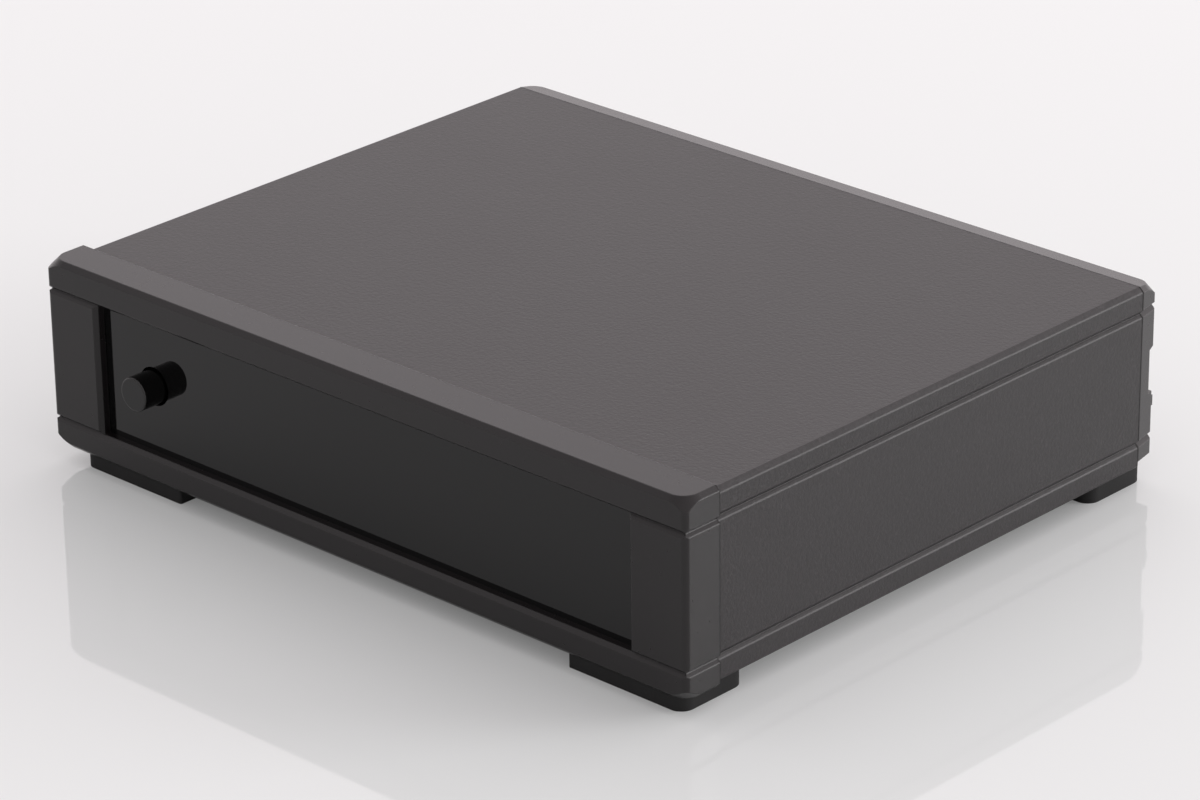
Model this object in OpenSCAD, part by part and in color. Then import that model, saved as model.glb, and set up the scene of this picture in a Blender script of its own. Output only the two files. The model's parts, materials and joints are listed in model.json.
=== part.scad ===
// Half-width phono preamplifier. An extruded sleeve is closed by a moulded front frame,
// which carries a gloss fascia, and by a flush rear frame, which clamps the socket panel.
// Millimetres: +X to the right, -Y to the front, +Z up. The pads stand on Z = 0.

/* [Case] */
// Width over the front frame
case_w = 180; // [170:1:220]
// Depth from the front frame's face to the rear frame's face
case_d = 145.6; // [140:0.1:180]
// Height of the front frame
frame_h = 42.4; // [41:0.1:56]
// Depth of the front frame along the sides
front_depth = 9.7; // [9.2:0.1:14]
// Depth of the rear frame along the sides
rear_depth = 5.5; // [4.5:0.1:8]
// How far the sleeve's sides lie inside the front frame's sides
side_step = 1; // [0.4:0.1:1.6]
// How far the sleeve's top lies below the front frame's
top_step = 1.15; // [0.4:0.05:1.6]
// How far the sleeve's underside lies above the front frame's
foot_step = 0.7; // [0.4:0.05:1.2]
// Bevel along the outer edges of the case
edge_bevel = 1; // [0.5:0.1:1.3]
// Bevel along the sleeve's lower edges
foot_bevel = 0.5; // [0.3:0.1:1]
// Corner radius of the front frame's top and bottom faces
corner_r = 3.6; // [2.6:0.1:6]
// Corner radius of the rear frame's top face
rear_corner_r = 3; // [2:0.1:4]
// How far each side of the rear frame draws in towards the rear
rear_draw = 1.1; // [0.2:0.1:1.4]
// How far the rear frame's top falls towards the rear
rear_fall = 0.7; // [0.1:0.1:1]
// From the sleeve's underside up to the rear frame's
rear_foot = 1.5; // [0.5:0.1:2]
// Radius of the front frame's upright corners
upright_r = 1.2; // [0.6:0.1:1.6]

/* [Grooves] */
// Depth of the V-grooves that run round the case
groove_depth = 0.8; // [0.4:0.05:1]
// From the front frame's top face to the root of the upper groove
upper_groove = 6.95; // [5:0.05:9]
// From the front frame's bottom face to the root of the lower groove
lower_groove = 6.2; // [5:0.05:9]
// Width of the small flats that break the extrusion's edges
eased_edge = 0.16; // [0.08:0.02:0.2]

/* [Sleeve] */
// Wall of the extruded sleeve
sleeve_wall = 2.2; // [1.8:0.1:2.8]
// Distance of the screw ports from the middle
port_x = 68; // [60:1:70]
// Outer radius of a screw port
port_r = 2.9; // [2.4:0.1:3.4]
// Radius of the hole in a screw port
port_hole_r = 1.25; // [1:0.05:1.5]
// Thickness of the ribs that hold the circuit board
rib_t = 1.2; // [0.8:0.1:2]
// How far those ribs stand in from the wall
rib_depth = 1.7; // [1.2:0.1:2.5]

/* [Fascia] */
// Width of the window in the front frame
window_w = 150.2; // [120:0.2:152]
// Depth of the gloss panel behind the front frame's face
fascia_recess = 2.5; // [1.8:0.1:3.2]
// Thickness of the gloss panel
fascia_t = 2.4; // [1.6:0.1:2.8]
// How far the gloss panel laps behind the frame's inner edge
fascia_lap = 1.9; // [1:0.1:2.4]
// Bevel of the upright inner edges of the window
post_bevel = 0.9; // [0.4:0.1:1.2]

/* [Push button] */
// Diameter of the button
button_d = 7.5; // [6:0.1:9]
// Distance of the button from the left side of the case
button_in = 29.4; // [26:0.1:40]
// How far the button stands out of the front frame's face
button_out = 3.4; // [3.3:0.1:6]
// Gap round the button in the gloss panel
button_gap = 0.5; // [0.2:0.05:0.6]
// Travel of the button
button_travel = 3; // [1.5:0.1:3.2]
// Rounding of the button's front edge
button_round = 0.4; // [0.2:0.1:0.8]
// Side of the square plunger that carries the button
plunger_side = 3.4; // [2.6:0.1:3.8]

/* [Pads] */
// Height of the rubber pads below the front frame
pad_h = 4; // [2:0.1:8]
// Width of a pad
pad_w = 30; // [16:0.5:40]
// Depth of a pad
pad_d = 18; // [13:0.1:24]
// From the front frame's left side to the left pads
left_pad_in = 6; // [2.4:0.1:8]
// From the front frame's right side to the right pads
right_pad_in = 3.2; // [2.4:0.1:8]
// From the front frame's face to the front pads
pad_front_in = 2.4; // [1.4:0.1:6]
// From the rear frame's face to the rear pads
pad_rear_in = 0.6; // [0.2:0.1:6]
// Radius of a pad's two outer corners
pad_outer_r = 3; // [1.5:0.1:6]
// Radius of a pad's two inner corners
pad_inner_r = 0.6; // [0.4:0.1:1.5]

/* [Circuit board] */
// Thickness of the circuit board
board_t = 1.6; // [1:0.1:2]
// Height of the button's and the sockets' axis above the board
axis_above_board = 7; // [6.4:0.1:8]
// Play of the board between the sleeve's ribs
board_play = 0.15; // [0.05:0.05:0.3]

/* [Rear panel] */
// Thickness of the steel rear panel
rear_panel_t = 1.2; // [0.8:0.1:1.6]
// Width of the opening in the rear frame
rear_opening_w = 156; // [150:1:160]
// Height of the opening in the rear frame
rear_opening_h = 22; // [18:0.5:23]
// Middle of the pair of output sockets
output_x = 14; // [10:1:18]
// Middle of the pair of input sockets
input_x = -44; // [-46:1:-40]
// Distance between the two sockets of a pair
socket_pitch = 18; // [15:0.5:19]
// Ground terminal
ground_x = -16; // [-19:1:-13]
// From the rear frame's right side to the power inlet
inlet_in = 31; // [25:1:39]

/* [Sockets] */
// Outer diameter of a phono socket's contact ring
ring_d = 8.3; // [7.5:0.1:9]
// Wall of the contact ring
ring_wall = 0.5; // [0.3:0.05:0.8]
// How far the contact rings stand out of the rear frame's face
ring_out = 6; // [5:0.1:9]
// Diameter of the collar round the foot of each ring
collar_d = 11; // [10:0.1:13]
// How far the collar stands out of the rear panel
collar_out = 1.2; // [0.8:0.1:2]
// Diameter of the hole for the plug's centre pin
pin_hole_d = 3.2; // [2.8:0.1:3.6]
// Diameter of the power inlet's barrel
barrel_d = 6.3; // [5.6:0.1:7]
// Diameter of the power inlet's centre pin
inlet_pin_d = 2; // [1.3:0.1:2.5]

/* [Ground terminal] */
// Diameter of the ground terminal's stud
stud_d = 4; // [3:0.5:5]
// Pitch of its thread
stud_pitch = 0.7; // [0.5:0.05:0.8]
// Diameter of the thumb nut
nut_d = 9; // [8:0.5:11]
// Length of the thumb nut
nut_len = 4.6; // [3:0.1:5]
// Radial running clearance of the nut on its stud
run_gap = 0.05; // [0.02:0.01:0.08]

/* [Fasteners] */
// Shank diameter of the screws
screw_d = 2.4; // [2:0.1:2.4]
// Head diameter of the screws
head_d = 5.4; // [4.6:0.1:5.6]
// Head height of the screws
head_h = 1.7; // [1.2:0.1:2]

/* [Hidden] */

smooth = 48;          // segments of visible round parts
fine = 24;            // segments of small round parts
over = 0.5;           // how far a cutter runs past the face that it cuts
seat = 0.1;           // gap where a rigid piece lies loosely in its place
root2 = sqrt(2);

// Levels
frame_z0 = pad_h;
frame_z1 = pad_h + frame_h;
sleeve_z0 = frame_z0 + foot_step;
sleeve_z1 = frame_z1 - top_step;
upper_z = frame_z1 - upper_groove;
lower_z = frame_z0 + lower_groove;
cavity_z0 = sleeve_z0 + sleeve_wall;
cavity_z1 = sleeve_z1 - sleeve_wall;
rear_z0 = sleeve_z0 + rear_foot;
axis_z = (lower_z + upper_z) / 2;
board_z1 = axis_z - axis_above_board;
board_z0 = board_z1 - board_t;

// Stations along Y, with the whole object centred on the origin
face_y = -(case_d + ring_out - button_out) / 2;
back_y = face_y + case_d;
seam_y = face_y + front_depth;
rear_seam_y = back_y - rear_depth;
fascia_y = face_y + fascia_recess;
panel_back_y = rear_seam_y + rear_panel_t;
tip_y = back_y + ring_out;

// Widths
sleeve_w = case_w - 2 * side_step;
sleeve_len = rear_seam_y - seam_y;
cavity_half = sleeve_w / 2 - sleeve_wall;
board_half = cavity_half - 2 * board_play;
button_x = button_in - case_w / 2;
inlet_x = sleeve_w / 2 - inlet_in;
port_inset = head_d / 2 + 0.7;
ports = [for (sx = [-1, 1], top = [0, 1])
    [sx * port_x, top == 1 ? cavity_z1 - port_inset : cavity_z0 + port_inset]];

// Screws
lug_t = 2.2;
lug_w = 9;
screw_hole_r = screw_d / 2 + 0.4;
screw_reach = 8;
head_pocket = 1.2;

// Rear details
panel_edge = 2.5;
panel_foot = 1.4;
rear_notch_depth = 1.7;
rear_notch = [16.2, 26];        // heights above the front frame's bottom face
rear_notch_slope = 0.35;
rear_lug = [12.8, 15.1];
rear_lug_w = 4;
rear_lug_out = 0.5;

// Sockets
ring_neck = 0.25;               // how much slimmer a ring is inside its block
block_w = socket_pitch + 13;
block_d = 14;
block_top = 6.6;
block_y = rear_seam_y - block_d;
hole_gap = 0.15;
pin_depth = 15;
inlet_body = [9, 14, 11];
inlet_depth = 9.5;
hex_af = 7;
hex_t = 2.4;
washer_t = 0.8;
washer_y = panel_back_y + hex_t;
nut_y = washer_y + washer_t;
nut_travel = 2 * stud_pitch;    // two turns
stud_end_y = nut_y + nut_len + nut_travel + 0.6;

// Switch
switch_y = seam_y + 3.6;
switch_wall = 2;
switch_bore = 6;
guide_gap = 0.1;
plunger_collar = 2;
plunger_rod = 5;
spring_shut = 10.9;             // room behind the plunger's collar with the button pushed in
switch_w = 10;
switch_h = 11;
switch_len = 2 * switch_wall + guide_gap + plunger_collar + button_travel + spring_shut;
button_tail = 0.5;              // length of the button behind the gloss panel
button_back_y = fascia_y + fascia_t + button_tail;
button_socket = 4;
spring_r = 2.2;
spring_wire = 0.36;
spring_turns = 7;

// Circuit board
board_y0 = seam_y + 2.4;
board_y1 = rear_seam_y - 0.6;

// An outline whose corners are broken by small flats of the given size.
function eased(pts, size) = [
    for (i = [0:len(pts) - 1])
    let (p = pts[i], a = pts[(i + len(pts) - 1) % len(pts)], b = pts[(i + 1) % len(pts)])
    each [p + size * (a - p) / norm(a - p), p + size * (b - p) / norm(b - p)]];

// A box given by its low corner and its high corner.
module block(low, high) {
    translate(low) cube(high - low);
}

// A round bar along +Y from y0 to y1.
module bar_y(x, z, r, y0, y1, segments = smooth) {
    translate([x, y1, z]) rotate([90, 0, 0]) cylinder(h = y1 - y0, r = r, $fn = segments);
}

// A solid turned about an axis along Y: profile points are [radius, distance behind y0].
module turned_y(x, z, y0, profile, segments = smooth) {
    translate([x, y0, z]) rotate([-90, 0, 0]) rotate_extrude($fn = segments) polygon(profile);
}

// What is cut off the corner at the origin of an outline in the first quadrant.
module round_corner(r) {
    difference() {
        translate([-over, -over]) square(r + over);
        translate([r, r]) circle(r = r, $fn = smooth);
    }
}

// A flat outline in X and Z, extruded from y0 to y1.
module extrude_y(y0, y1) {
    translate([0, y1, 0]) rotate([90, 0, 0]) linear_extrude(y1 - y0) children();
}

// The three shapes that are cut out of a frame's outer edges.
module bevel_cut(len, size) {
    linear_extrude(len) polygon([[-size - over, over], [over, over], [over, -size - over]]);
}

module groove_cut(len) {
    wide = groove_depth + over;
    linear_extrude(len) polygon([[over, wide], [-groove_depth, 0], [over, -wide]]);
}

// Middle of a round corner that lies inset from the face and from a side that draws in
// towards the face.
function corner_mid(w, depth, draw, inset) =
    [w / 2 - draw + inset * draw / depth - inset / cos(atan(draw / depth)), inset];

// What lies outside that middle, between the tangents' feet on the face and on the side.
module corner_region(w, depth, draw, inset) {
    mid = corner_mid(w, depth, draw, inset);
    turn = atan(draw / depth);
    foot = mid + (inset + over) * [cos(turn), -sin(turn)];
    polygon([mid, [mid[0], -over], [foot[0], -over], foot]);
}

// The cone that rounds a corner of the top face and runs out into the upright corner.
module corner_cut(w, depth, draw, z1, r) {
    inset = edge_bevel + r;
    mid = corner_mid(w, depth, draw, inset);
    drop = inset * root2 - r + 0.05;
    difference() {
        translate([0, 0, z1 - drop]) linear_extrude(drop + over)
            corner_region(w, depth, draw, inset);
        translate([mid[0], mid[1], z1 - drop - over])
            cylinder(h = drop + 2 * over, r1 = r + drop + over, r2 = r - over, $fn = 96);
    }
}

// A frame's outer shape, with its face at y = 0 and its depth along +Y. Towards the face
// the sides draw in and the top falls. ends names the ends that are bevelled: 0 is the
// bottom and 1 the top.
module frame_block(w, z0, z1, depth, r_face, r_upright, front_grooves, ends, draw, fall) {
    turn = atan(draw / depth);
    slope = atan(fall / depth);
    long = depth / cos(turn) + 2 * over;
    difference() {
        translate([0, 0, z0]) linear_extrude(z1 - z0) difference() {
            polygon([[-w / 2, depth], [draw - w / 2, 0], [w / 2 - draw, 0], [w / 2, depth]]);
            for (side = [0, 1]) mirror([side, 0]) difference() {
                corner_region(w, depth, draw, r_upright);
                translate(corner_mid(w, depth, draw, r_upright))
                    circle(r = r_upright, $fn = fine);
            }
        }
        for (up = ends) translate([0, 0, (z0 + z1) / 2]) mirror([0, 0, 1 - up])
            translate([0, 0, (z1 - z0) / 2 - fall]) rotate([slope, 0, 0]) {
                if (fall > 0) block([-w / 2 - over, -over, 0],
                    [w / 2 + over, depth + 2 * over, fall + over]);
                translate([w / 2, 0, 0]) rotate([90, 0, -90]) bevel_cut(w, edge_bevel);
                for (side = [0, 1]) mirror([side, 0, 0]) {
                    translate([w / 2, depth, 0]) rotate([90, 0, -turn])
                        translate([0, 0, -over]) bevel_cut(long, edge_bevel);
                    corner_cut(w, depth, draw, 0, r_face);
                }
            }
        for (z = [lower_z, upper_z]) {
            for (side = [0, 1]) mirror([side, 0, 0]) translate([w / 2, depth, z])
                rotate([90, 0, -turn]) translate([0, 0, -over]) groove_cut(long);
            if (front_grooves) translate([w / 2 + over, 0, z]) rotate([90, 0, -90])
                groove_cut(w + 2 * over);
        }
    }
}

// ---- Case ----

module sleeve_outline() {
    half = sleeve_w / 2;
    g = groove_depth;
    right = [[half - foot_bevel, sleeve_z0], [half, sleeve_z0 + foot_bevel],
        [half, lower_z - g], [half - g, lower_z], [half, lower_z + g],
        [half, upper_z - g], [half - g, upper_z], [half, upper_z + g],
        [half, sleeve_z1 - edge_bevel], [half - edge_bevel, sleeve_z1]];
    left = [for (i = [len(right) - 1:-1:0]) [-right[i][0], right[i][1]]];
    polygon(eased(concat(right, left), eased_edge));
}

module sleeve() {
    color([0.16, 0.155, 0.155]) extrude_y(seam_y, rear_seam_y) difference() {
        sleeve_outline();
        difference() {
            translate([-cavity_half, cavity_z0])
                square([2 * cavity_half, cavity_z1 - cavity_z0]);
            for (side = [0, 1], z = [board_z1 + board_play, board_z0 - board_play - rib_t])
                mirror([side, 0]) translate([cavity_half - rib_depth, z])
                    square([rib_depth + over, rib_t]);
            for (p = ports) translate(p) {
                circle(r = port_r, $fn = fine);
                mirror([0, p[1] > axis_z ? 0 : 1]) translate([-port_r, 0])
                    square([2 * port_r, port_inset + over]);
            }
        }
        for (p = ports) translate(p) circle(r = port_hole_r, $fn = fine);
    }
}

// The lugs that take the front screws, and the tongues that enter the sleeve.
module frame_fixings() {
    for (p = ports) {
        up = p[1] > axis_z;
        z0 = up ? p[1] - lug_w / 2 : cavity_z0 - over;
        z1 = up ? cavity_z1 + over : p[1] + lug_w / 2;
        difference() {
            block([p[0] - lug_w / 2, seam_y - lug_t, z0], [p[0] + lug_w / 2, seam_y, z1]);
            bar_y(p[0], p[1], screw_hole_r, seam_y - lug_t - over, seam_y + over, fine);
        }
    }
    tongue_t = 1.6;
    tongue_w = 34;
    tongue_x = 18;
    tongue_reach = 3;
    for (side = [0, 1], low = [0, 1]) mirror([side, 0, 0])
        translate([tongue_x, 0, (cavity_z0 + cavity_z1) / 2]) mirror([0, 0, low]) {
            z1 = (cavity_z1 - cavity_z0) / 2;
            block([0, seam_y - lug_t, z1 - tongue_t], [tongue_w, seam_y, z1 + over]);
            block([0, seam_y, z1 - tongue_t], [tongue_w, seam_y + tongue_reach, z1 - seat]);
        }
}

module front_frame() {
    color([0.17, 0.165, 0.165]) union() {
        difference() {
            translate([0, face_y, 0]) frame_block(case_w, frame_z0, frame_z1, front_depth,
                corner_r, upright_r, true, [0, 1], 0, 0);
            block([-window_w / 2, face_y - over, lower_z],
                [window_w / 2, fascia_y + over, upper_z]);
            block([-cavity_half, fascia_y, cavity_z0], [cavity_half, seam_y + over, cavity_z1]);
            for (side = [0, 1]) mirror([side, 0, 0]) translate([0, 0, lower_z])
                linear_extrude(upper_z - lower_z) translate([window_w / 2, face_y])
                    polygon([[-over, -over], [post_bevel + over, -over],
                        [-over, post_bevel + over]]);
        }
        frame_fixings();
    }
}

module fascia_panel() {
    color([0.03, 0.03, 0.03]) difference() {
        block([-window_w / 2 - fascia_lap, fascia_y, lower_z - fascia_lap],
            [window_w / 2 + fascia_lap, fascia_y + fascia_t, upper_z + fascia_lap]);
        bar_y(button_x, axis_z, button_d / 2 + button_gap, fascia_y - over,
            fascia_y + fascia_t + over);
    }
}

module rear_frame() {
    opening_z = (sleeve_z0 + sleeve_z1 - rear_opening_h) / 2;
    rear_side = sleeve_w / 2 - rear_draw;
    notch_y = back_y - rear_notch_depth;
    notch_rise = (rear_notch_depth + over) * rear_notch_slope;
    color([0.19, 0.185, 0.185]) difference() {
        union() {
            translate([0, back_y, 0]) mirror([0, 1, 0]) frame_block(sleeve_w, rear_z0,
                sleeve_z1, rear_depth, rear_corner_r, groove_depth / 2, false, [1],
                rear_draw, rear_fall);
            for (side = [0, 1]) mirror([side, 0, 0])
                block([rear_side - rear_lug_w, back_y - 1, frame_z0 + rear_lug[0]],
                    [rear_side - 0.2, back_y + rear_lug_out, frame_z0 + rear_lug[1]]);
        }
        block([-rear_opening_w / 2, rear_seam_y - over, opening_z],
            [rear_opening_w / 2, back_y + over, opening_z + rear_opening_h]);
        block([panel_edge - sleeve_w / 2 - seat, rear_seam_y - over,
            rear_z0 + panel_foot - seat], [sleeve_w / 2 - panel_edge + seat, panel_back_y,
            sleeve_z1 - panel_edge + seat]);
        for (side = [0, 1]) mirror([side, 0, 0]) translate([rear_opening_w / 2 - over, 0, 0])
            rotate([90, 0, 90]) linear_extrude(sleeve_w) polygon([
                [notch_y, frame_z0 + rear_notch[0]], [back_y + over, frame_z0 + rear_notch[0]],
                [back_y + over, frame_z0 + rear_notch[1] + notch_rise],
                [notch_y, frame_z0 + rear_notch[1]]]);
        for (p = ports) {
            bar_y(p[0], p[1], screw_hole_r, rear_seam_y, back_y + over, fine);
            bar_y(p[0], p[1], head_d / 2 + seat, back_y - head_pocket, back_y + over);
        }
    }
}

module rear_panel() {
    color([0.1, 0.1, 0.1]) difference() {
        block([panel_edge - sleeve_w / 2, rear_seam_y, rear_z0 + panel_foot],
            [sleeve_w / 2 - panel_edge, panel_back_y, sleeve_z1 - panel_edge]);
        for (p = ports) bar_y(p[0], p[1], screw_hole_r, rear_seam_y - over,
            panel_back_y + over, fine);
        for (mid = [output_x, input_x]) {
            for (s = [-1, 1]) bar_y(mid + s * socket_pitch / 2, axis_z,
                collar_d / 2 + hole_gap, rear_seam_y - over, panel_back_y + over);
            bar_y(mid, axis_z, screw_hole_r, rear_seam_y - over, panel_back_y + over, fine);
        }
        bar_y(ground_x, axis_z, stud_d / 2 + hole_gap, rear_seam_y - over,
            panel_back_y + over, fine);
        bar_y(inlet_x, axis_z, barrel_d / 2 + 1, rear_seam_y - over, panel_back_y + over);
    }
}

// A rubber pad on the right, rounded on its outer side. A front pad steps up from the
// front frame's underside to the sleeve's.
module pad(front, side_in) {
    x1 = case_w / 2 - side_in;
    x0 = x1 - pad_w;
    y0 = front ? face_y + pad_front_in : back_y - pad_rear_in - pad_d;
    y1 = y0 + pad_d;
    color([0.09, 0.09, 0.09]) difference() {
        linear_extrude(sleeve_z0) difference() {
            translate([x0, y0]) square([pad_w, pad_d]);
            translate([x0, y0]) round_corner(pad_inner_r);
            translate([x0, y1]) mirror([0, 1]) round_corner(pad_inner_r);
            translate([x1, y0]) mirror([1, 0]) round_corner(pad_outer_r);
            translate([x1, y1]) rotate(180) round_corner(pad_outer_r);
        }
        if (front) block([x0 - over, y0 - over, frame_z0],
            [x1 + over, seam_y + seat, sleeve_z0 + over]);
    }
}

module front_left_pad() mirror([1, 0, 0]) pad(true, left_pad_in);
module front_right_pad() pad(true, right_pad_in);
module rear_left_pad() mirror([1, 0, 0]) pad(false, left_pad_in);
module rear_right_pad() pad(false, right_pad_in);

// A pan-head screw along Y with a cross recess. dir is 1 when it is driven towards +Y.
module screw(x, z, y_seat, dir, reach) {
    slot = 0.7;
    arm = head_d * 0.3;
    deep = head_h * 0.6;
    translate([x, y_seat, z]) mirror([0, dir > 0 ? 0 : 1, 0]) difference() {
        union() {
            rotate([-90, 0, 0]) cylinder(h = reach, r = screw_d / 2, $fn = fine);
            turned_y(0, 0, -head_h, [[0, 0], [head_d / 2 - 0.8, 0], [head_d / 2 - 0.25, 0.35],
                [head_d / 2, 0.9], [head_d / 2, head_h], [0, head_h]], fine);
        }
        block([-arm, -head_h - over, -slot / 2], [arm, deep - head_h, slot / 2]);
        block([-slot / 2, -head_h - over, -arm], [slot / 2, deep - head_h, arm]);
    }
}

module front_screws() {
    color("silver") for (p = ports) screw(p[0], p[1], seam_y - lug_t, 1, lug_t + screw_reach);
}

module rear_screws() {
    color([0.12, 0.12, 0.12]) for (p = ports) screw(p[0], p[1], back_y - head_pocket, -1,
        rear_depth - head_pocket + screw_reach);
}

module socket_screws() {
    color([0.12, 0.12, 0.12]) for (mid = [output_x, input_x])
        screw(mid, axis_z, panel_back_y, -1, screw_reach);
}

// ---- Push switch ----

module push_switch() {
    x = button_x;
    half = switch_w / 2;
    y1 = switch_y + switch_len;
    color([0.2, 0.2, 0.22]) difference() {
        block([x - half, switch_y, board_z1], [x + half, y1, board_z1 + switch_h]);
        block([x - switch_bore / 2, switch_y + switch_wall, axis_z - switch_bore / 2],
            [x + switch_bore / 2, y1 - switch_wall, axis_z + switch_bore / 2]);
        guide = plunger_side / 2 + guide_gap;
        block([x - guide, switch_y - over, axis_z - guide],
            [x + guide, switch_y + switch_wall + over, axis_z + guide]);
    }
}

module switch_plunger() {
    half = plunger_side / 2;
    wide = switch_bore / 2 - guide_gap;
    y0 = button_back_y - button_socket + guide_gap;
    y1 = switch_y + switch_wall + guide_gap;
    color([0.85, 0.85, 0.8]) translate([button_x, 0, axis_z]) {
        block([-half, y0, -half], [half, y1 + plunger_collar, half]);
        block([-wide, y1, -wide], [wide, y1 + plunger_collar, wide]);
        bar_y(0, 0, spring_r - spring_wire - guide_gap, y1,
            y1 + plunger_collar + plunger_rod, fine);
    }
}

// A coil swept ring by ring; the rings follow a helix about the plunger's axis.
module switch_spring() {
    y0 = switch_y + switch_wall + guide_gap + plunger_collar + spring_wire / 2 + 0.02;
    y1 = switch_y + switch_len - switch_wall - spring_wire / 2 - 0.02;
    per_turn = 12;
    sides = 6;
    steps = spring_turns * per_turn;
    pts = [for (i = [0:steps], k = [0:sides - 1])
        let (a = i * 360 / per_turn, b = k * 360 / sides,
            r = spring_r + spring_wire / 2 * cos(b))
        [r * cos(a), y0 + (y1 - y0) * i / steps + spring_wire / 2 * sin(b), r * sin(a)]];
    walls = [for (i = [0:steps - 1], k = [0:sides - 1])
        let (p = i * sides + k, q = i * sides + (k + 1) % sides)
        [p, p + sides, q + sides, q]];
    ends = [[for (k = [0:sides - 1]) k], [for (k = [sides - 1:-1:0]) steps * sides + k]];
    color("silver") translate([button_x, 0, axis_z]) polyhedron(pts, concat(walls, ends));
}

module power_button() {
    r = button_d / 2;
    len = button_back_y - face_y + button_out;
    arc = [for (a = [0:15:90])
        [r - button_round + button_round * sin(a), button_round - button_round * cos(a)]];
    hole = plunger_side / 2 + 0.02;
    color([0.02, 0.02, 0.02]) difference() {
        turned_y(button_x, axis_z, face_y - button_out,
            concat([[0, 0]], arc, [[r, len], [0, len]]));
        block([button_x - hole, button_back_y - button_socket, axis_z - hole],
            [button_x + hole, button_back_y + over, axis_z + hole]);
    }
}

// ---- Rear sockets ----

module socket_block(mid) {
    z1 = axis_z + block_top;
    color([0.13, 0.13, 0.13]) difference() {
        union() {
            block([mid - block_w / 2, block_y, board_z1], [mid + block_w / 2, rear_seam_y, z1]);
            for (s = [-1, 1]) bar_y(mid + s * socket_pitch / 2, axis_z, collar_d / 2,
                rear_seam_y - over, panel_back_y + collar_out);
        }
        for (s = [-1, 1]) bar_y(mid + s * socket_pitch / 2, axis_z, ring_d / 2 - ring_neck
            + 0.02, block_y + 2, panel_back_y + collar_out + over);
        bar_y(mid, axis_z, screw_d / 2 + run_gap, rear_seam_y - screw_reach,
            rear_seam_y + over, fine);
    }
}

module output_socket_block() socket_block(output_x);
module input_socket_block() socket_block(input_x);

module socket_rings(mid) {
    r = ring_d / 2;
    y0 = block_y + 2;
    len = tip_y - y0;
    foot = panel_back_y + collar_out - y0;
    color([0.8, 0.78, 0.72]) for (s = [-1, 1]) turned_y(mid + s * socket_pitch / 2, axis_z, y0,
        [[r - ring_wall, 0], [r - ring_neck, 0], [r - ring_neck, foot], [r, foot],
        [r, len - 0.4], [r - 0.2, len], [r - ring_wall, len]]);
}

module output_socket_rings() socket_rings(output_x);
module input_socket_rings() socket_rings(input_x);

// The plastic that fills a ring, with a flared mouth round the centre contact.
module insulator(x) {
    r = ring_d / 2 - ring_wall - 0.02;
    hole = pin_hole_d / 2 + 0.42;
    y0 = block_y + 2;
    len = tip_y - 0.7 - y0;
    turned_y(x, axis_z, y0, [[hole, 0], [r, 0], [r, len], [hole + 0.6, len], [hole, len - 0.6]]);
}

module left_socket_insulators() {
    color("white") for (mid = [output_x, input_x]) insulator(mid + socket_pitch / 2);
}

module right_socket_insulators() {
    color("red") for (mid = [output_x, input_x]) insulator(mid - socket_pitch / 2);
}

// The sprung centre tubes of the four sockets.
module socket_contacts() {
    r = pin_hole_d / 2;
    y0 = block_y + 3;
    len = tip_y - 1.5 - y0;
    color([0.8, 0.7, 0.4]) for (mid = [output_x, input_x], s = [-1, 1])
        turned_y(mid + s * socket_pitch / 2, axis_z, y0, [[0, 0], [r + 0.4, 0],
            [r + 0.4, len], [r, len], [r, len - pin_depth], [0, len - pin_depth]]);
}

module power_inlet() {
    half = inlet_body[0] / 2;
    color([0.08, 0.08, 0.08]) difference() {
        block([inlet_x - half, rear_seam_y - inlet_body[1], board_z1],
            [inlet_x + half, rear_seam_y, board_z1 + inlet_body[2]]);
        bar_y(inlet_x, axis_z, barrel_d / 2, rear_seam_y - inlet_depth, rear_seam_y + over);
        bar_y(inlet_x, axis_z, inlet_pin_d / 2 + 0.02, rear_seam_y - inlet_depth - 2,
            rear_seam_y, fine);
    }
}

module power_inlet_pin() {
    r = inlet_pin_d / 2;
    len = inlet_depth + 1;
    color("silver") turned_y(inlet_x, axis_z, rear_seam_y - inlet_depth - 2,
        [[0, 0], [r, 0], [r, len - 0.5], [r - 0.4, len], [0, len]], fine);
}

module ground_post() {
    r = stud_d / 2;
    len = stud_end_y - (rear_seam_y - 5);
    color([0.75, 0.62, 0.35]) {
        turned_y(ground_x, axis_z, rear_seam_y - 5,
            [[0, 0], [r, 0], [r, len - 0.5], [r - 0.5, len], [0, len]]);
        for (y = [panel_back_y, rear_seam_y - hex_t]) translate([ground_x, y + hex_t, axis_z])
            rotate([90, 0, 0]) cylinder(h = hex_t, r = hex_af / sqrt(3), $fn = 6);
    }
}

module ground_washer() {
    r = stud_d / 2 + run_gap;
    color("silver") turned_y(ground_x, axis_z, washer_y + 0.02,
        [[r, 0], [nut_d / 2, 0], [nut_d / 2, washer_t - 0.04], [r, washer_t - 0.04]]);
}

// A thumb nut with a knurled rim of fine flutes and a plain shoulder.
module ground_nut() {
    r = stud_d / 2 + run_gap;
    flutes = 24;
    rim = nut_d / 2;
    color([0.8, 0.68, 0.4]) difference() {
        turned_y(ground_x, axis_z, nut_y, [[r, 0], [rim - 0.8, 0], [rim - 0.8, 0.8],
            [rim - 0.3, 0.8], [rim, 1.1], [rim, nut_len - 0.4], [rim - 0.4, nut_len],
            [r + 0.3, nut_len], [r, nut_len - 0.3]], 72);
        for (i = [0:flutes - 1]) translate([ground_x, 0, axis_z])
            rotate([0, i * 360 / flutes, 0]) translate([rim + 0.12, 0, 0]) rotate([0, 45, 0])
                block([-0.28, nut_y + 0.8, -0.28], [0.28, nut_y + nut_len + over, 0.28]);
    }
}

// ---- Circuit board ----

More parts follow.
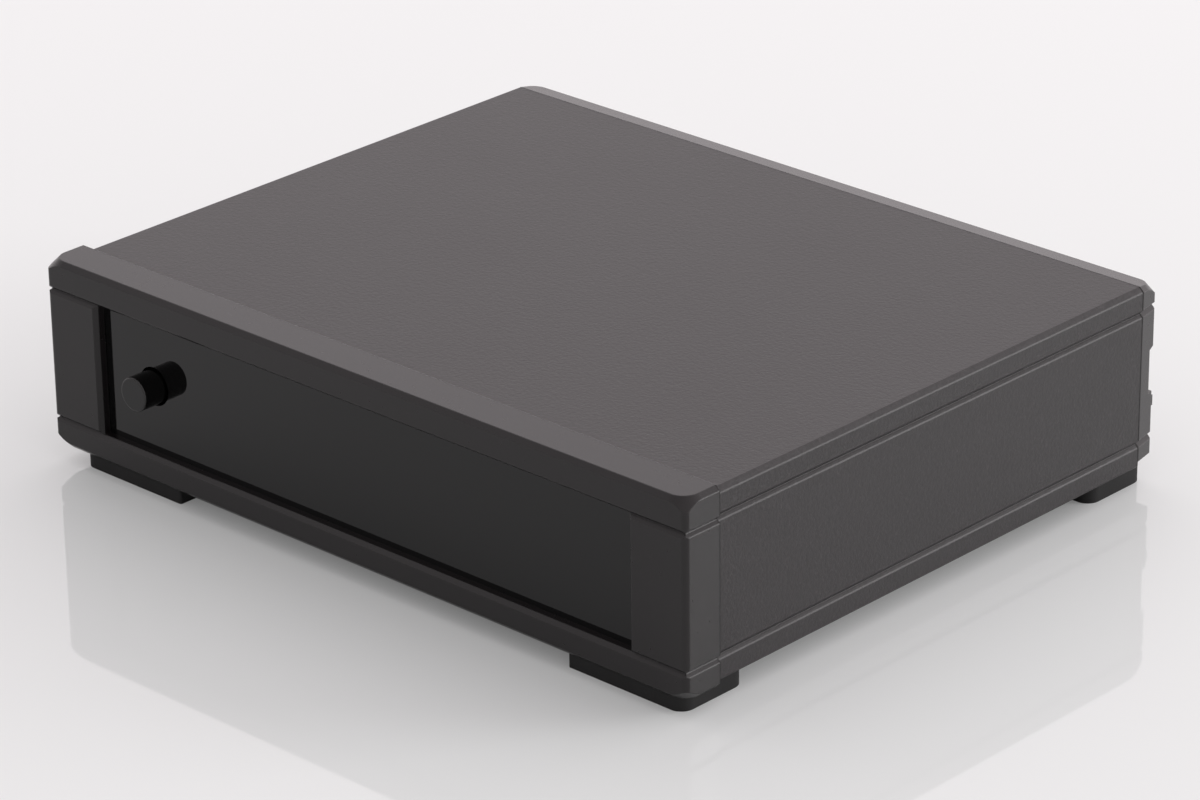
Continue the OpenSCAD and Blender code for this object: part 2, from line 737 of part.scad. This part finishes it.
// The layout is written for one channel and mirrored about the middle of the board.
// A row is [first x off the channel's middle, first y off amp_y, step, number].
channel_x = 34;
amp_y = board_y0 + 62;
supply_y = board_y0 + 16;
opamp_size = [6.4, 9.6, 3.4];
film_size = [13, 5, 11];
film_row = [20, -18, 9, 4];
small_film = [7.2, 3, 7];
small_film_row = [-14, -10, 6.5, 3];
resistor_len = 6;
resistor_r = 1.15;
resistor_span = 10;
resistor_rows = [[-9, -12.5, 3.6, 6], [-22, -25, 3.6, 4]];
transistor_row = [7, -21, -5.2, 4];
supply_can = [6.3, 20];         // radius and height
supply_row = [-26, 17, 4];      // first x off the channel's middle, step, number
signal_can = [3.15, 11];
signal_can_row = [2, 14, 8, 3];
output_can = [4, 12];
output_can_at = [38, -4];
regulator_x = [-28, -12];
relay_size = [10.2, 20.2, 10.4];
relay_y = block_y - 14;
board_notch = 3;
board_hole_in = [8, 6];

module circuit_board() {
    notch = board_notch;
    color([0.06, 0.3, 0.16]) difference() {
        block([-board_half, board_y0, board_z0], [board_half, board_y1, board_z1]);
        for (s = [-1, 1]) translate([s * board_half, board_y0, board_z0 - over])
            rotate([0, 0, 45]) translate([-notch, -notch, 0] / 2)
                cube([notch, notch, board_t + 2 * over]);
        for (s = [-1, 1], y = [board_y0 + board_hole_in[1], board_y1 - board_hole_in[1]])
            translate([s * (board_half - board_hole_in[0]), y, board_z0 - over])
                cylinder(h = board_t + 2 * over, r = 1.6, $fn = fine);
    }
}

// Dual in-line package with its notch and eight legs.
module dip8(x, y) {
    s = opamp_size;
    leg = 0.5;
    color([0.1, 0.1, 0.1]) translate([x, y, board_z1]) {
        difference() {
            block([-s[0] / 2, -s[1] / 2, 0.6], [s[0] / 2, s[1] / 2, s[2] + 0.6]);
            translate([0, -s[1] / 2, s[2]]) cylinder(h = 2, r = 0.8, $fn = fine);
        }
        for (side = [-1, 1], i = [0:3]) translate([side * (s[0] / 2 + 0.3), (i - 1.5) * 2.54, 0])
            block([-0.4, -leg / 2, 0], [0.4, leg / 2, 2.2]);
    }
}

module op_amps() {
    for (side = [-1, 1]) dip8(side * channel_x, amp_y);
    dip8(0, amp_y);
}

module film_capacitor(x, y, size) {
    translate([x, y, board_z1])
        block([-size[0] / 2, -size[1] / 2, 0], [size[0] / 2, size[1] / 2, size[2]]);
}

module film_capacitors() {
    color([0.7, 0.12, 0.1]) for (side = [-1, 1]) {
        for (f = [[film_row, film_size], [small_film_row, small_film]]) let (row = f[0])
            for (i = [0:row[3] - 1])
                film_capacitor(side * (channel_x + row[0]), amp_y + row[1] + i * row[2], f[1]);
    }
}

// Upright can with a crimped foot and a scored vent in its top.
module can(x, y, size) {
    r = size[0];
    h = size[1];
    translate([x, y, board_z1]) difference() {
        rotate_extrude($fn = smooth) polygon([[0, 0], [r - 0.4, 0], [r, 0.5], [r, 1.6],
            [r - 0.3, 2], [r, 2.4], [r, h - 0.5], [r - 0.5, h], [r - 0.9, h],
            [r - 0.9, h - 0.3], [0, h - 0.3]]);
        for (a = [0, 90]) rotate([0, 0, a])
            block([-0.15, 0.9 - r, h - 0.55], [0.15, r - 0.9, h]);
    }
}

module electrolytic_capacitors() {
    color([0.09, 0.1, 0.2]) {
        for (i = [0:supply_row[2] - 1])
            can(channel_x + supply_row[0] + i * supply_row[1], supply_y, supply_can);
        for (side = [-1, 1], i = [0:signal_can_row[3] - 1])
            can(side * (channel_x + signal_can_row[0]),
                amp_y + signal_can_row[1] + i * signal_can_row[2], signal_can);
        for (side = [-1, 1])
            can(side * (channel_x + output_can_at[0]), amp_y + output_can_at[1], output_can);
    }
}

// Flat-faced small-signal transistors on three short legs.
module transistors() {
    h = 4.6;
    row = transistor_row;
    color([0.08, 0.08, 0.08]) for (side = [-1, 1], i = [0:row[3] - 1])
        translate([side * (channel_x + row[0]), amp_y + row[1] + i * row[2], board_z1]) {
            translate([0, 0, 2]) linear_extrude(h) difference() {
                circle(r = 2.3, $fn = smooth);
                translate([-3, 1.3]) square([6, 3]);
            }
            for (k = [-1:1]) translate([k * 1.27, 0, 0]) block([-0.22, -0.22, 0], [0.22, 0.22, 2]);
        }
}

// Axial resistor: a dog-bone body held up on two bent wires.
module resistor(x, y) {
    lift = resistor_r + 0.3;
    half = resistor_len / 2;
    wire = 0.3;
    translate([x, y, board_z1]) {
        translate([0, -half, lift]) rotate([-90, 0, 0]) rotate_extrude($fn = fine)
            polygon([[0, 0], [0.8, 0], [resistor_r, 0.5], [resistor_r, 1.4],
                [resistor_r - 0.2, 1.8], [resistor_r - 0.2, resistor_len - 1.8],
                [resistor_r, resistor_len - 1.4], [resistor_r, resistor_len - 0.5],
                [0.8, resistor_len], [0, resistor_len]]);
        bar_y(0, lift, wire, -resistor_span / 2, resistor_span / 2, fine);
        for (s = [-1, 1]) translate([0, s * (resistor_span / 2 - wire), 0])
            cylinder(h = lift, r = wire, $fn = fine);
    }
}

module resistors() {
    color([0.35, 0.6, 0.75]) for (side = [-1, 1], row = resistor_rows, i = [0:row[3] - 1])
        resistor(side * (channel_x + row[0] + i * row[2]), amp_y + row[1]);
}

// Upright regulators: a moulded body in front of a drilled metal tab.
module regulators() {
    color([0.5, 0.5, 0.52]) for (x = regulator_x) translate([x, supply_y, board_z1]) {
        difference() {
            block([-5, 1.6, 3], [5, 2.9, 18.5]);
            bar_y(0, 15.4, 1.8, 1, 3.5, fine);
        }
        block([-5, -1.6, 3], [5, 1.6, 12]);
        for (k = [-1:1]) translate([k * 2.54, 0, 0]) block([-0.4, -0.3, 0], [0.4, 0.3, 3.2]);
    }
}

module muting_relay() {
    s = relay_size;
    x = (output_x + ground_x) / 2;
    color([0.9, 0.88, 0.82]) translate([x, relay_y, board_z1]) {
        block([-s[0] / 2, -s[1] / 2, 0.4], [s[0] / 2, s[1] / 2, s[2]]);
        for (i = [-1, 1], k = [-1, 1]) translate([i * 3.8, k * 8, 0])
            block([-0.5, -0.5, 0], [0.5, 0.5, 0.6]);
    }
}

sleeve();
front_frame();
rear_frame();
fascia_panel();
rear_panel();
front_left_pad();
front_right_pad();
rear_left_pad();
rear_right_pad();
circuit_board();
push_switch();
switch_plunger();
switch_spring();
power_button();
output_socket_block();
input_socket_block();
output_socket_rings();
input_socket_rings();
left_socket_insulators();
right_socket_insulators();
socket_contacts();
ground_post();
ground_washer();
ground_nut();
power_inlet();
power_inlet_pin();
op_amps();
film_capacitors();
electrolytic_capacitors();
transistors();
resistors();
regulators();
muting_relay();
front_screws();
rear_screws();
socket_screws();
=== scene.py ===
import bpy
import json
import math
from mathutils import Matrix, Vector


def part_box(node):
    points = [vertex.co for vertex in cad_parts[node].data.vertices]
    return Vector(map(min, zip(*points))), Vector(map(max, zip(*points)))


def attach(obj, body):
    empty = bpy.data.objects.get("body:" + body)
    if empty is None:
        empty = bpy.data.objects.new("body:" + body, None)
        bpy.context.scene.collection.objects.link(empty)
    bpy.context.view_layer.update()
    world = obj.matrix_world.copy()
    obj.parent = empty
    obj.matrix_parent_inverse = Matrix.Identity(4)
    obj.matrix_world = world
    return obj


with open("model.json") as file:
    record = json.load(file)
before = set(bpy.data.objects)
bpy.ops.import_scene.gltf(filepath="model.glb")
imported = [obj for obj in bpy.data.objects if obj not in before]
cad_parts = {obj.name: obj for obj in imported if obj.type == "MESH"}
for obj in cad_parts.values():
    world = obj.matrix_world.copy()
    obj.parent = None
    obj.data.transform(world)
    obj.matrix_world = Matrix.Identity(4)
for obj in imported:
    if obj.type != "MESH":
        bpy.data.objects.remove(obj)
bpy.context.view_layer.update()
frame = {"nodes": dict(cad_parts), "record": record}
print("frame loaded")


# one socket of a node tree; + - * / add Math nodes, node() adds any other node
class Wire:
    def __init__(self, tree, socket):
        self.tree = tree
        self.socket = socket

    def node(self, kind, settings=None, values=None, output=0):
        made = self.tree.nodes.new(kind)
        for name, value in (settings or {}).items():
            setattr(made, name, value)
        for key, value in (values or {}).items():
            if isinstance(value, Wire):
                self.tree.links.new(value.socket, made.inputs[key])
            else:
                made.inputs[key].default_value = value
        return Wire(self.tree, made.outputs[output])

    def maths(self, operation, first, second=0.0):
        return self.node("ShaderNodeMath", {"operation": operation}, {0: first, 1: second})

    def __add__(self, other):
        return self.maths("ADD", self, other)

    def __radd__(self, other):
        return self.maths("ADD", other, self)

    def __sub__(self, other):
        return self.maths("SUBTRACT", self, other)

    def __rsub__(self, other):
        return self.maths("SUBTRACT", other, self)

    def __mul__(self, other):
        return self.maths("MULTIPLY", self, other)

    def __rmul__(self, other):
        return self.maths("MULTIPLY", other, self)

    def __truediv__(self, other):
        return self.maths("DIVIDE", self, other)

    def noise(self, scale, detail=2.0, rough=0.5):
        values = {"Vector": self, "Scale": scale, "Detail": detail, "Roughness": rough}
        return self.node("ShaderNodeTexNoise", {}, values, "Fac")

    def between(self, low, high):
        values = {"Value": self, "From Min": low, "From Max": high}
        return self.node("ShaderNodeMapRange", {"clamp": True}, values)

    # the colour low where this wire is 0, and high where it is 1
    def blend(self, low, high):
        return self.node("ShaderNodeMix", {"data_type": "RGBA"}, {0: self, 6: low, 7: high}, 2)

    def part(self, axis):
        return self.node("ShaderNodeSeparateXYZ", {}, {0: self}, axis)

    def stretched(self, scale):
        return self.node("ShaderNodeMapping", {}, {"Vector": self, "Scale": scale})


def rgb(red, green=None, blue=None):
    return (red, red if green is None else green, red if blue is None else blue, 1.0)


# a new material with its shader's constants set; returns it, its shader and the coordinates
def newFinish(name, constants):
    material = bpy.data.materials.new(name)
    material.use_nodes = True
    tree = material.node_tree
    shader = tree.nodes["Principled BSDF"]
    for socket, value in constants.items():
        shader.inputs[socket].default_value = value
    start = Wire(tree, None)
    return material, shader, start.node("ShaderNodeTexCoord", output="Object")


# links each wire to the socket that has its name, with a space for each underscore
def feed(shader, **sockets):
    for name, wire in sockets.items():
        wire.tree.links.new(wire.socket, shader.inputs[name.replace("_", " ")])


def bumped(height, depth, strength=1.0, under=None):
    values = {"Height": height, "Distance": depth, "Strength": strength}
    if under is not None:
        values["Normal"] = under
    return height.node("ShaderNodeBump", {}, values)


# the normal, bent round the edges as a small radius would bend it
def softEdge(start, radius):
    return start.node("ShaderNodeBevel", {"samples": 6}, {"Radius": radius})


occlusionSamples = 12


# 1 along the outer edges and 0 on the flats; the edges are painted paler, partly for wear where
# the coating is thin and partly as a painted highlight
def edgeWearAndHighlight(start, reach):
    settings = {"inside": True, "only_local": True, "samples": occlusionSamples}
    depth = start.node("ShaderNodeAmbientOcclusion", settings, {"Distance": reach}, "AO")
    return (1.0 - depth).between(0.015, 0.10)


# 1 where a frame meets the end of the sleeve, for the painted shade in the seam
def seamAt(start, width):
    front, rear = (start.maths("ABSOLUTE", start.part(1) - end[1]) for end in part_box("sleeve"))
    return 1.0 - start.maths("MINIMUM", front, rear).between(width * 0.6, width)


# 1 in the roots of grooves and in inner corners, where painted shade goes
def crevice(start, reach):
    settings = {"only_local": True, "samples": occlusionSamples}
    openness = start.node("ShaderNodeAmbientOcclusion", settings, {"Distance": reach}, "AO")
    return (1.0 - openness).between(0.1, 0.6)


# finishes that show in the picture; lengths in metres, noise scales per metre
sleeveLook = {"dark": rgb(0.0082, 0.0066, 0.0071), "pale": rgb(0.0305, 0.0255, 0.0272),
              "wornAndHighlight": rgb(0.048, 0.0455, 0.046), "wearAndHighlightReach": 0.00025,
              "seamWidth": 0.0003, "shade": rgb(0.003), "grooveReach": 0.0008,
              "grooveShade": 0.7, "roughness": 0.27, "grainScale": 2600.0,
              "grainDepth": 0.000036, "waveScale": 1100.0, "waveDepth": 0.00005,
              "cloudScale": 30.0, "specks": (0.70, 0.78), "flecks": (0.38, 0.62),
              "edge": 0.0002}


# coarse wave and fine grain of a textured coating, with pale flecks, edges painted paler for wear
# and as a painted highlight, and painted shade in the seams and groove roots
def powderCoat(look):
    material, shader, here = newFinish("powderCoat", {"IOR": 1.5})
    grain = here.noise(look["grainScale"], 3.0, 0.6)
    wave = here.noise(look["waveScale"], 2.0)
    cloud = here.noise(look["cloudScale"], 3.0)
    specks = here.noise(look["grainScale"] * 0.5, 0.0).between(*look["specks"])
    fleck = (wave * 0.6 + grain * 0.4).between(*look["flecks"])
    coat = (cloud * 0.3 + fleck * 0.45 + specks * 0.5).blend(look["dark"], look["pale"])
    # edges painted paler: partly wear of the coating, partly a painted highlight
    rubbedAndHighlit = (edgeWearAndHighlight(here, look["wearAndHighlightReach"]) * (0.6 + cloud * 0.5)).blend(coat, look["wornAndHighlight"])
    seam = seamAt(here, look["seamWidth"])
    groove = crevice(here, look["grooveReach"]) * look["grooveShade"]
    # painted shade in the seam and in the groove roots: a darker colour, and the metallic takes
    # out the reflection there
    paintedShade = here.maths("MAXIMUM", seam, groove)
    feed(shader,
         Base_Color=paintedShade.blend(rubbedAndHighlit, look["shade"]),
         Metallic=paintedShade * 0.9,
         Roughness=look["roughness"] + grain * 0.12 + cloud * 0.04 + wave * 0.06)
    low = bumped(wave, look["waveDepth"], under=softEdge(here, look["edge"]))
    feed(shader, Normal=bumped(grain, look["grainDepth"], under=low))
    return material


frameLook = {"dark": rgb(0.0082, 0.0064, 0.0069), "pale": rgb(0.0142, 0.0114, 0.0121),
             "wornAndHighlight": rgb(0.018, 0.0175, 0.017), "wearAndHighlightReach": 0.00025,
             "seamWidth": 0.0004, "seamShade": 0.5, "shade": rgb(0.003), "roughness": 0.22,
             "grainScale": 3200.0, "grainDepth": 0.000014, "cloudScale": 45.0,
             "dustScale": 700.0, "dust": (0.70, 0.78), "edge": 0.00035}
# the photograph's rear frame is paler than its front frame; this paler copy of the same plastic
# is painted light
rearLook = {**frameLook, "dark": rgb(0.036, 0.0345, 0.035), "pale": rgb(0.048, 0.046, 0.0465),
            "wornAndHighlight": rgb(0.095, 0.092, 0.092)}


def satinFrame(name, look):
    material, shader, here = newFinish(name, {"IOR": 1.5})
    grain = here.noise(look["grainScale"], 2.0, 0.6)
    cloud = here.noise(look["cloudScale"], 3.0)
    dust = here.noise(look["dustScale"], 2.0).between(*look["dust"])
    body = (cloud * 0.6 + dust * 0.4).blend(look["dark"], look["pale"])
    # edges painted paler: partly wear of the plastic, partly a painted highlight
    rubbedAndHighlit = (edgeWearAndHighlight(here, look["wearAndHighlightReach"]) * 0.9).blend(body, look["wornAndHighlight"])
    # painted shade in the seam: a darker colour, and the metallic takes out the reflection there
    paintedShade = seamAt(here, look["seamWidth"]) * look["seamShade"]
    feed(shader,
         Base_Color=paintedShade.blend(rubbedAndHighlit, look["shade"]),
         Metallic=paintedShade * 0.9,
         Roughness=look["roughness"] + cloud * 0.06 + dust * 0.1,
         Normal=bumped(grain, look["grainDepth"], under=softEdge(here, look["edge"])))
    return material


glossLook = {"dark": rgb(0.0022, 0.0022, 0.0023), "pale": rgb(0.0045, 0.0045, 0.0046),
             "wornAndHighlight": rgb(0.007), "roughness": 0.02, "edge": 0.00012, "cloudScale": 25.0,
             "dustScale": 520.0, "dust": (0.76, 0.82), "rippleScale": 18.0,
             "rippleDepth": 0.00001}
# the button's pale edge colour is a painted highlight along its rim
buttonLook = {**glossLook, "dark": rgb(0.0012), "pale": rgb(0.003), "wornAndHighlight": rgb(0.16),
              "roughness": 0.06}


def polishedBlack(name, look):
    material, shader, here = newFinish(name, {"IOR": 1.49})
    cloud = here.noise(look["cloudScale"], 2.0)
    dust = here.noise(look["dustScale"], 3.0).between(*look["dust"])
    ripple = here.noise(look["rippleScale"], 1.0)
    body = (cloud * 0.3 + dust * 0.7).blend(look["dark"], look["pale"])
    # edges painted paler: partly wear, partly a painted highlight
    feed(shader,
         Base_Color=edgeWearAndHighlight(here, look["edge"]).blend(body, look["wornAndHighlight"]),
         Roughness=look["roughness"] + cloud * 0.02 + dust * 0.12,
         Normal=bumped(ripple, look["rippleDepth"], 0.4, softEdge(here, look["edge"])))
    return material


rubberLook = {"dark": rgb(0.010), "pale": rgb(0.020), "roughness": 0.62,
              "grainScale": 1800.0, "grainDepth": 0.00005, "cloudScale": 160.0,
              "edge": 0.0003}


def padRubber(look):
    material, shader, here = newFinish("padRubber", {"IOR": 1.45})
    grain = here.noise(look["grainScale"], 3.0, 0.7)
    cloud = here.noise(look["cloudScale"], 3.0)
    feed(shader,
         Base_Color=cloud.blend(look["dark"], look["pale"]),
         Roughness=look["roughness"] + grain * 0.15,
         Normal=bumped(grain, look["grainDepth"], under=softEdge(here, look["edge"])))
    return material


# plastics and paint of the sockets and of what is inside
def moulded(name, colour, roughness=0.4, grainScale=1500.0, depth=0.00001, tone=0.15):
    material, shader, here = newFinish(name, {"IOR": 1.5})
    grain = here.noise(grainScale, 2.0, 0.6)
    cloud = here.noise(120.0, 3.0)
    darker = rgb(*[c * (1 - tone) for c in colour])
    feed(shader,
         Base_Color=cloud.blend(darker, rgb(*colour)),
         Roughness=roughness + cloud * 0.08,
         Normal=bumped(grain, depth, under=softEdge(here, 0.0001)))
    return material


# plated or bare metal, with fine drawn lines and duller patches
def plated(name, colour, roughness=0.2, stretch=(1.0, 12.0, 1.0), depth=0.000003):
    material, shader, here = newFinish(name, {"Metallic": 1.0})
    lines = here.stretched(stretch).noise(900.0, 2.0, 0.6)
    wear = here.noise(350.0, 4.0)
    darker = rgb(*[c * 0.78 for c in colour])
    feed(shader,
         Base_Color=wear.blend(darker, rgb(*colour)),
         Roughness=roughness + wear * 0.12,
         Normal=bumped(lines, depth, under=softEdge(here, 0.00008)))
    return material


boardLook = {"mask": rgb(0.010, 0.085, 0.034), "copper": rgb(0.022, 0.16, 0.06),
             "pitch": 0.00254, "traceDepth": 0.00004}


# green mask over straight copper traces that jog from column to column
def solderMask(look):
    material, shader, here = newFinish("solderMask", {"IOR": 1.5})
    x, y = here.part(0) / look["pitch"], here.part(1) / look["pitch"]
    column = x.maths("FLOOR", x * 0.5)
    jog = here.node("ShaderNodeTexWhiteNoise", {"noise_dimensions": "1D"}, {"W": column}, "Value")
    offset = x.maths("FRACT", x * 0.5 + y.maths("FLOOR", y * 0.125 + jog * 3.0) * 0.31)
    trace = 1.0 - x.maths("ABSOLUTE", offset - 0.5).between(0.09, 0.13)
    weave = here.noise(1200.0, 2.0)
    feed(shader,
         Base_Color=trace.blend(look["mask"], look["copper"]),
         Roughness=0.28 + weave * 0.12,
         Normal=bumped(trace * 0.8 + weave * 0.2, look["traceDepth"]))
    return material


resistorLook = {"body": rgb(0.09, 0.27, 0.42), "bandWidth": 0.00045,
                "hueScale": (270.0, 920.0, 0.0)}


# blue lacquer with colour bands that differ from one resistor to the next
def lacquered(look):
    material, shader, here = newFinish("resistorLacquer", {"IOR": 1.5, "Coat Weight": 0.5})
    cell = here.part(1) / (look["bandWidth"] * 2.4)
    stripe = cell.maths("FRACT", cell).between(0.40, 0.46)
    hue = here.node("ShaderNodeTexWhiteNoise", {"noise_dimensions": "2D"},
                    {"Vector": here.stretched(look["hueScale"])}, "Color")
    feed(shader,
         Base_Color=(stripe * 0.35).blend(look["body"], hue),
         Roughness=0.25 + here.noise(600.0) * 0.1,
         Normal=bumped(here.noise(900.0), 0.00001))
    return material


gold = (0.83, 0.62, 0.27)
steel = (0.62, 0.62, 0.61)
finishes = {
    "sleeve_coating": powderCoat(sleeveLook),
    "frame_plastic": satinFrame("satinFrame", frameLook),
    "fascia_gloss": polishedBlack("polishedFascia", glossLook),
    "button_gloss": polishedBlack("polishedButton", buttonLook),
    "panel_paint": moulded("panelPaint", (0.02, 0.02, 0.02), 0.36, 2200.0, 0.00002),
    "pad_rubber": padRubber(rubberLook),
    "board_green": solderMask(boardLook),
    "switch_plastic": moulded("switchPlastic", (0.045, 0.045, 0.05), 0.35),
    "plunger_plastic": moulded("plungerPlastic", (0.72, 0.70, 0.65), 0.38),
    "spring_steel": plated("springSteel", steel, 0.25),
    "socket_plastic": moulded("socketPlastic", (0.016, 0.016, 0.016), 0.34),
    "ring_plating": plated("ringPlating", gold, 0.14),
    "contact_plating": plated("contactPlating", gold, 0.22),
    "white_plastic": moulded("whitePlastic", (0.80, 0.79, 0.76), 0.3),
    "red_plastic": moulded("redPlastic", (0.55, 0.016, 0.014), 0.3),
    "terminal_brass": plated("terminalBrass", gold, 0.2),
    "washer_steel": plated("washerSteel", steel, 0.22),
    "chip_plastic": moulded("chipPlastic", (0.022, 0.022, 0.024), 0.5, 2600.0, 0.00002),
    "film_plastic": moulded("filmPlastic", (0.42, 0.025, 0.02), 0.3),
    "can_sleeve": moulded("canSleeve", (0.018, 0.02, 0.05), 0.22),
    "resistor_lacquer": lacquered(resistorLook),
    "regulator_tab": plated("regulatorTab", (0.5, 0.5, 0.52), 0.3),
    "relay_plastic": moulded("relayPlastic", (0.72, 0.70, 0.62), 0.35),
    "screw_zinc": plated("screwZinc", (0.6, 0.6, 0.56), 0.3),
    "screw_black": moulded("screwBlack", (0.02, 0.02, 0.02), 0.3, 2000.0, 0.000006),
}
for row in frame["record"]["subparts"]:
    for place in frame["nodes"][row["node"]].material_slots:
        place.material = finishes[row["material_slot"]]
rearFinish = satinFrame("rearFrameSatin", rearLook)
for place in frame["nodes"]["rear_frame"].material_slots:
    place.material = rearFinish
print("finishes on the frame")

# thread on the ground stud; tipGap is the plain end of the stud
threadLook = {"Root radius": 0.00195, "Ridge": 0.00018, "Length": 0.0078, "Pitch": 0.0007,
              "tipGap": 0.0005}


# an empty tree with a length input for each label; returns it, its input and output nodes
def newTree(name, labels):
    tree = bpy.data.node_groups.new(name, "GeometryNodeTree")
    for label in labels:
        tree.interface.new_socket(label, in_out="INPUT", socket_type="NodeSocketFloat")
    tree.interface.new_socket("Geometry", in_out="OUTPUT", socket_type="NodeSocketGeometry")
    return tree, tree.nodes.new("NodeGroupInput"), tree.nodes.new("NodeGroupOutput")


# a helix of diamond section, wound about +Z from the origin
def threadTree(finish):
    labels = ("Root radius", "Ridge", "Length", "Pitch")
    tree, given, made = newTree("studThread", labels)
    start = Wire(tree, None)
    root, ridge, length, pitch = (Wire(tree, given.outputs[label]) for label in labels)
    helix = start.node("GeometryNodeCurveSpiral", {}, {
        "Resolution": 24, "Rotations": length / pitch, "Start Radius": root,
        "End Radius": root, "Height": length})
    section = start.node("GeometryNodeCurvePrimitiveCircle", {"mode": "RADIUS"},
                         {"Resolution": 4, "Radius": ridge})
    ridges = start.node("GeometryNodeCurveToMesh", {},
                        {"Curve": helix, "Profile Curve": section, "Fill Caps": True})
    solid = start.node("GeometryNodeRealizeInstances", {}, {"Geometry": ridges})
    painted = start.node("GeometryNodeSetMaterial", {}, {"Geometry": solid, "Material": finish})
    tree.links.new(painted.socket, made.inputs[0])
    return tree


# the tree's result as a plain mesh, set along the stud and kept short of its tip
def makeThread(look):
    low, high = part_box("ground_post")
    holder = bpy.data.objects.new("threadMaker", bpy.data.meshes.new("threadMaker"))
    bpy.context.scene.collection.objects.link(holder)
    modifier = holder.modifiers.new("thread", "NODES")
    modifier.node_group = threadTree(finishes["terminal_brass"])
    for socket in modifier.node_group.interface.items_tree:
        if socket.name in look:
            modifier[socket.identifier] = look[socket.name]
    bpy.context.view_layer.update()
    graph = bpy.context.evaluated_depsgraph_get()
    mesh = bpy.data.meshes.new_from_object(holder.evaluated_get(graph))
    bpy.data.objects.remove(holder)
    tip = Vector(((low[0] + high[0]) / 2, high[1] - look["tipGap"], (low[2] + high[2]) / 2))
    mesh.transform(Matrix.Translation(tip) @ Matrix.Rotation(math.radians(90), 4, "X"))
    thread = bpy.data.objects.new("studThread", mesh)
    bpy.context.scene.collection.objects.link(thread)
    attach(thread, "case")


makeThread(threadLook)
print("thread made")

floorLook = {"colour": rgb(0.764, 0.79, 0.782), "roughness": 0.035, "half": 4.0,
             "drop": 0.00004, "haze": 0.13}


# the haze lifts the pale background for the camera alone, and lights nothing
def makeFloor(look):
    half, level = look["half"], -look["drop"]
    mesh = bpy.data.meshes.new("floor")
    corners = [(-half, -half, level), (half, -half, level),
               (half, half, level), (-half, half, level)]
    mesh.from_pydata(corners, [], [(0, 1, 2, 3)])
    floor = bpy.data.objects.new("floor", mesh)
    bpy.context.scene.collection.objects.link(floor)
    material, shader, here = newFinish("floorGloss", {
        "Base Color": look["colour"], "Roughness": look["roughness"], "IOR": 1.5,
        "Emission Strength": look["haze"]})
    seen = here.node("ShaderNodeLightPath", output="Is Camera Ray")
    feed(shader, Emission_Color=seen.blend(rgb(0.0), rgb(1.0)))
    mesh.materials.append(material)


skyLook = {"front": rgb(0.56, 0.537, 0.544), "back": rgb(1.2, 1.12, 1.145),
           "frontToBack": (-0.7, 0.6), "rise": (0.33, 0.45), "dimmedAbove": 0.22}


# paler towards the back, and a little dimmer above
def makeSky(look):
    world = bpy.data.worlds.new("room")
    bpy.context.scene.world = world
    world.use_nodes = True
    start = Wire(world.node_tree, None)
    toward = start.node("ShaderNodeTexCoord", output="Generated")
    toBack = toward.part(1).between(*look["frontToBack"])
    high = toward.part(2).between(*look["rise"])
    feed(world.node_tree.nodes["Background"],
         Color=(toBack * (1.0 - high * look["dimmedAbove"])).blend(look["front"], look["back"]))


softboxLook = {"place": (1.28, 1.22, 0.52), "aim": (0.0, 0.0, 0.0), "size": (0.7, 1.0),
               "power": 10.0}


# low at the back right, for the bright lines along the rounded right-hand edges
def makeSoftbox(look):
    lamp = bpy.data.lights.new("backSoftbox", "AREA")
    lamp.shape = "RECTANGLE"
    lamp.size, lamp.size_y = look["size"]
    lamp.energy = look["power"]
    holder = bpy.data.objects.new("backSoftbox", lamp)
    bpy.context.scene.collection.objects.link(holder)
    holder.location = look["place"]
    toAim = Vector(look["aim"]) - Vector(look["place"])
    holder.rotation_euler = toAim.to_track_quat("-Z", "Y").to_euler()


# angles in degrees, the focal length in pixels of a picture that is imageWidth wide
cameraLook = {"azimuth": 43.505, "elevation": 24.032, "roll": -0.749, "focalPixels": 5079.0,
              "imageWidth": 1200, "sensorWidth": 36.0, "farthest": 50.0,
              "place": (0.6662, -0.7038, 0.4480)}


def makeCamera(look):
    a, e, r = (math.radians(look[k]) for k in ("azimuth", "elevation", "roll"))
    back = Vector((math.sin(a) * math.cos(e), -math.cos(a) * math.cos(e), math.sin(e)))
    level = Vector((math.cos(a), math.sin(a), 0.0))
    upright = back.cross(level)
    right = level * math.cos(r) + upright * math.sin(r)
    up = upright * math.cos(r) - level * math.sin(r)
    data = bpy.data.cameras.new("camera")
    data.sensor_fit = "HORIZONTAL"
    data.sensor_width = look["sensorWidth"]
    data.lens = look["focalPixels"] / look["imageWidth"] * look["sensorWidth"]
    data.clip_end = look["farthest"]
    camera = bpy.data.objects.new("camera", data)
    bpy.context.scene.collection.objects.link(camera)
    turn = Matrix((right, up, back)).transposed().to_4x4()
    camera.matrix_world = Matrix.Translation(look["place"]) @ turn
    bpy.context.scene.camera = camera


makeFloor(floorLook)
makeSky(skyLook)
makeSoftbox(softboxLook)
makeCamera(cameraLook)
bpy.context.scene.view_settings.view_transform = "Standard"
print("room and camera made")
